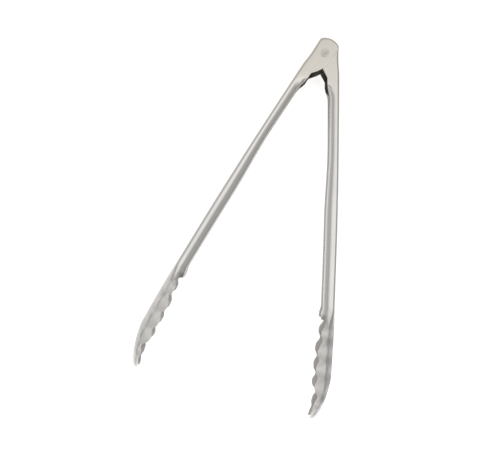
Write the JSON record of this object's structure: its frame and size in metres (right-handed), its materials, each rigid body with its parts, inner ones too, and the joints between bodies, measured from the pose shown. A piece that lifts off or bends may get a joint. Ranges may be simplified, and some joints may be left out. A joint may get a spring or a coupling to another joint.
{
  "type": "spring loaded kitchen tongs",
  "caption": "Sprung kitchen tongs: two pressed steel channel arms with rolled edges and scalloped jaws, hinged at the head on a rivet.",
  "frame": {"origin": "centre of the rivet's lower head, on the surface that the tongs lie on", "axes": "+Z along the rivet, up from the surface; +Y towards the head and -Y towards the jaws, midway between the open arms; the outer arm is on the -X side"},
  "size_m": [0.1609, 0.3009, 0.026],
  "materials": {
    "arm_sheet": "bright satin stainless steel",
    "rivet_steel": "satin stainless steel",
    "spring_wire": "drawn spring wire"
  },
  "bodies": {
    "outer": {"outer_arm": "arm_sheet", "pivot_rivet": "rivet_steel", "torsion_spring": "spring_wire"},
    "inner": {"inner_arm": "arm_sheet"}
  },
  "joints": [
    {"name": "squeeze", "type": "hinge", "parent": "outer", "child": "inner", "pos_m": [0, 0, 0.013], "axis": [0, 0, -1], "range_deg": [0, 28.2], "stiffness_Nm_per_rad": 1, "springref_deg": -20.05, "deforming": ["torsion_spring"]}
  ]
}
